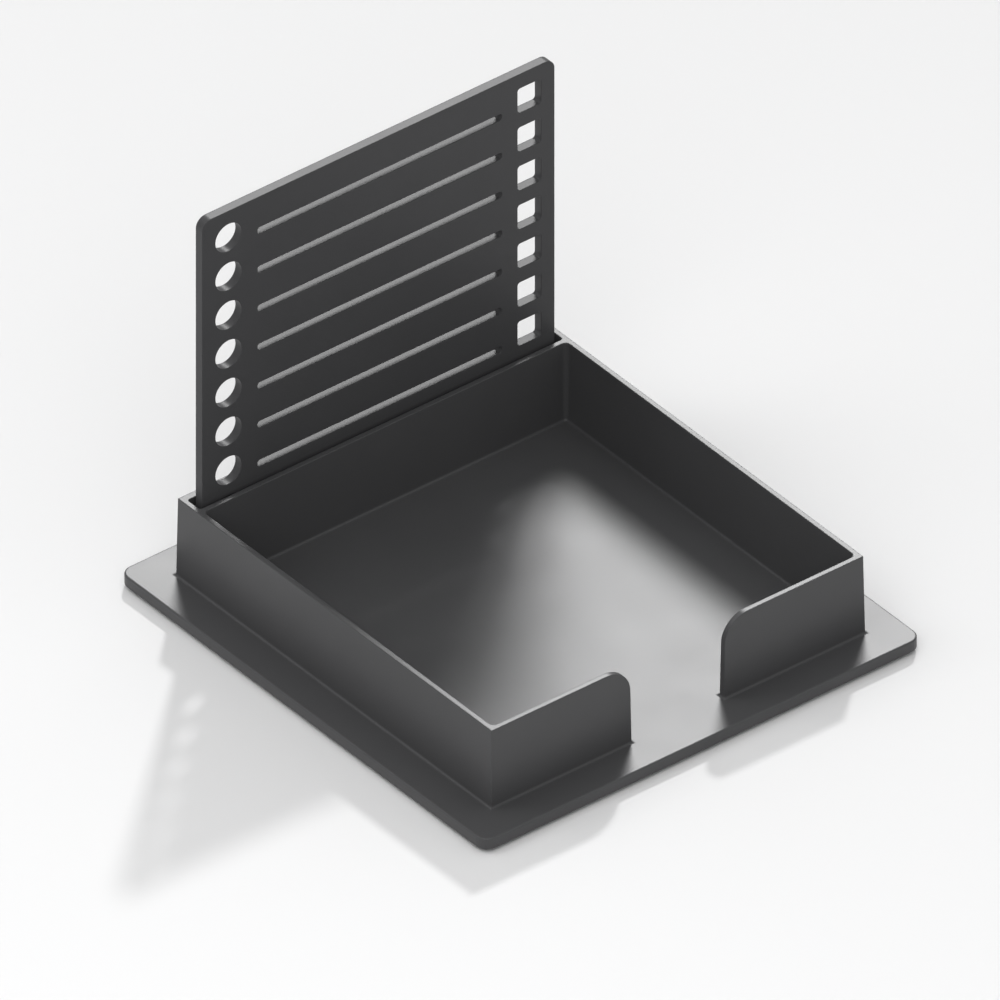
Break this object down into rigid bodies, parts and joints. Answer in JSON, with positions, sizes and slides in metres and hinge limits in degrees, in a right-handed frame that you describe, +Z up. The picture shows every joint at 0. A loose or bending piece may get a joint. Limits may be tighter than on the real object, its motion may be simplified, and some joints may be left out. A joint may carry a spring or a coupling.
{
  "type": "sticky note tray",
  "caption": "Open square sticky note tray on a flat base plate, with a finger gap in front and a perforated drawing stencil standing in a slot behind it.",
  "frame": {"origin": "on the desk, below the middle of the base plate", "axes": "+X to the right across the front with the finger gap, +Y towards the rear with the stencil slot, +Z up"},
  "size_m": [0.0944, 0.0992, 0.0777],
  "materials": {
    "tray_plastic": "satin moulded plastic with a very fine grain",
    "stencil_plastic": "satin moulded plastic with a very fine grain",
    "foot_rubber": "matt rubber"
  },
  "bodies": {
    "tray": {"note_tray": "tray_plastic", "foot_front_left": "foot_rubber", "foot_front_right": "foot_rubber", "foot_rear_left": "foot_rubber", "foot_rear_right": "foot_rubber"},
    "stencil": {"drawing_stencil": "stencil_plastic"}
  },
  "joints": [
    {"name": "stencil_lift", "type": "slide", "parent": "tray", "child": "stencil", "axis": [0, 0, 1], "range_m": [0, 0.03]}
  ]
}
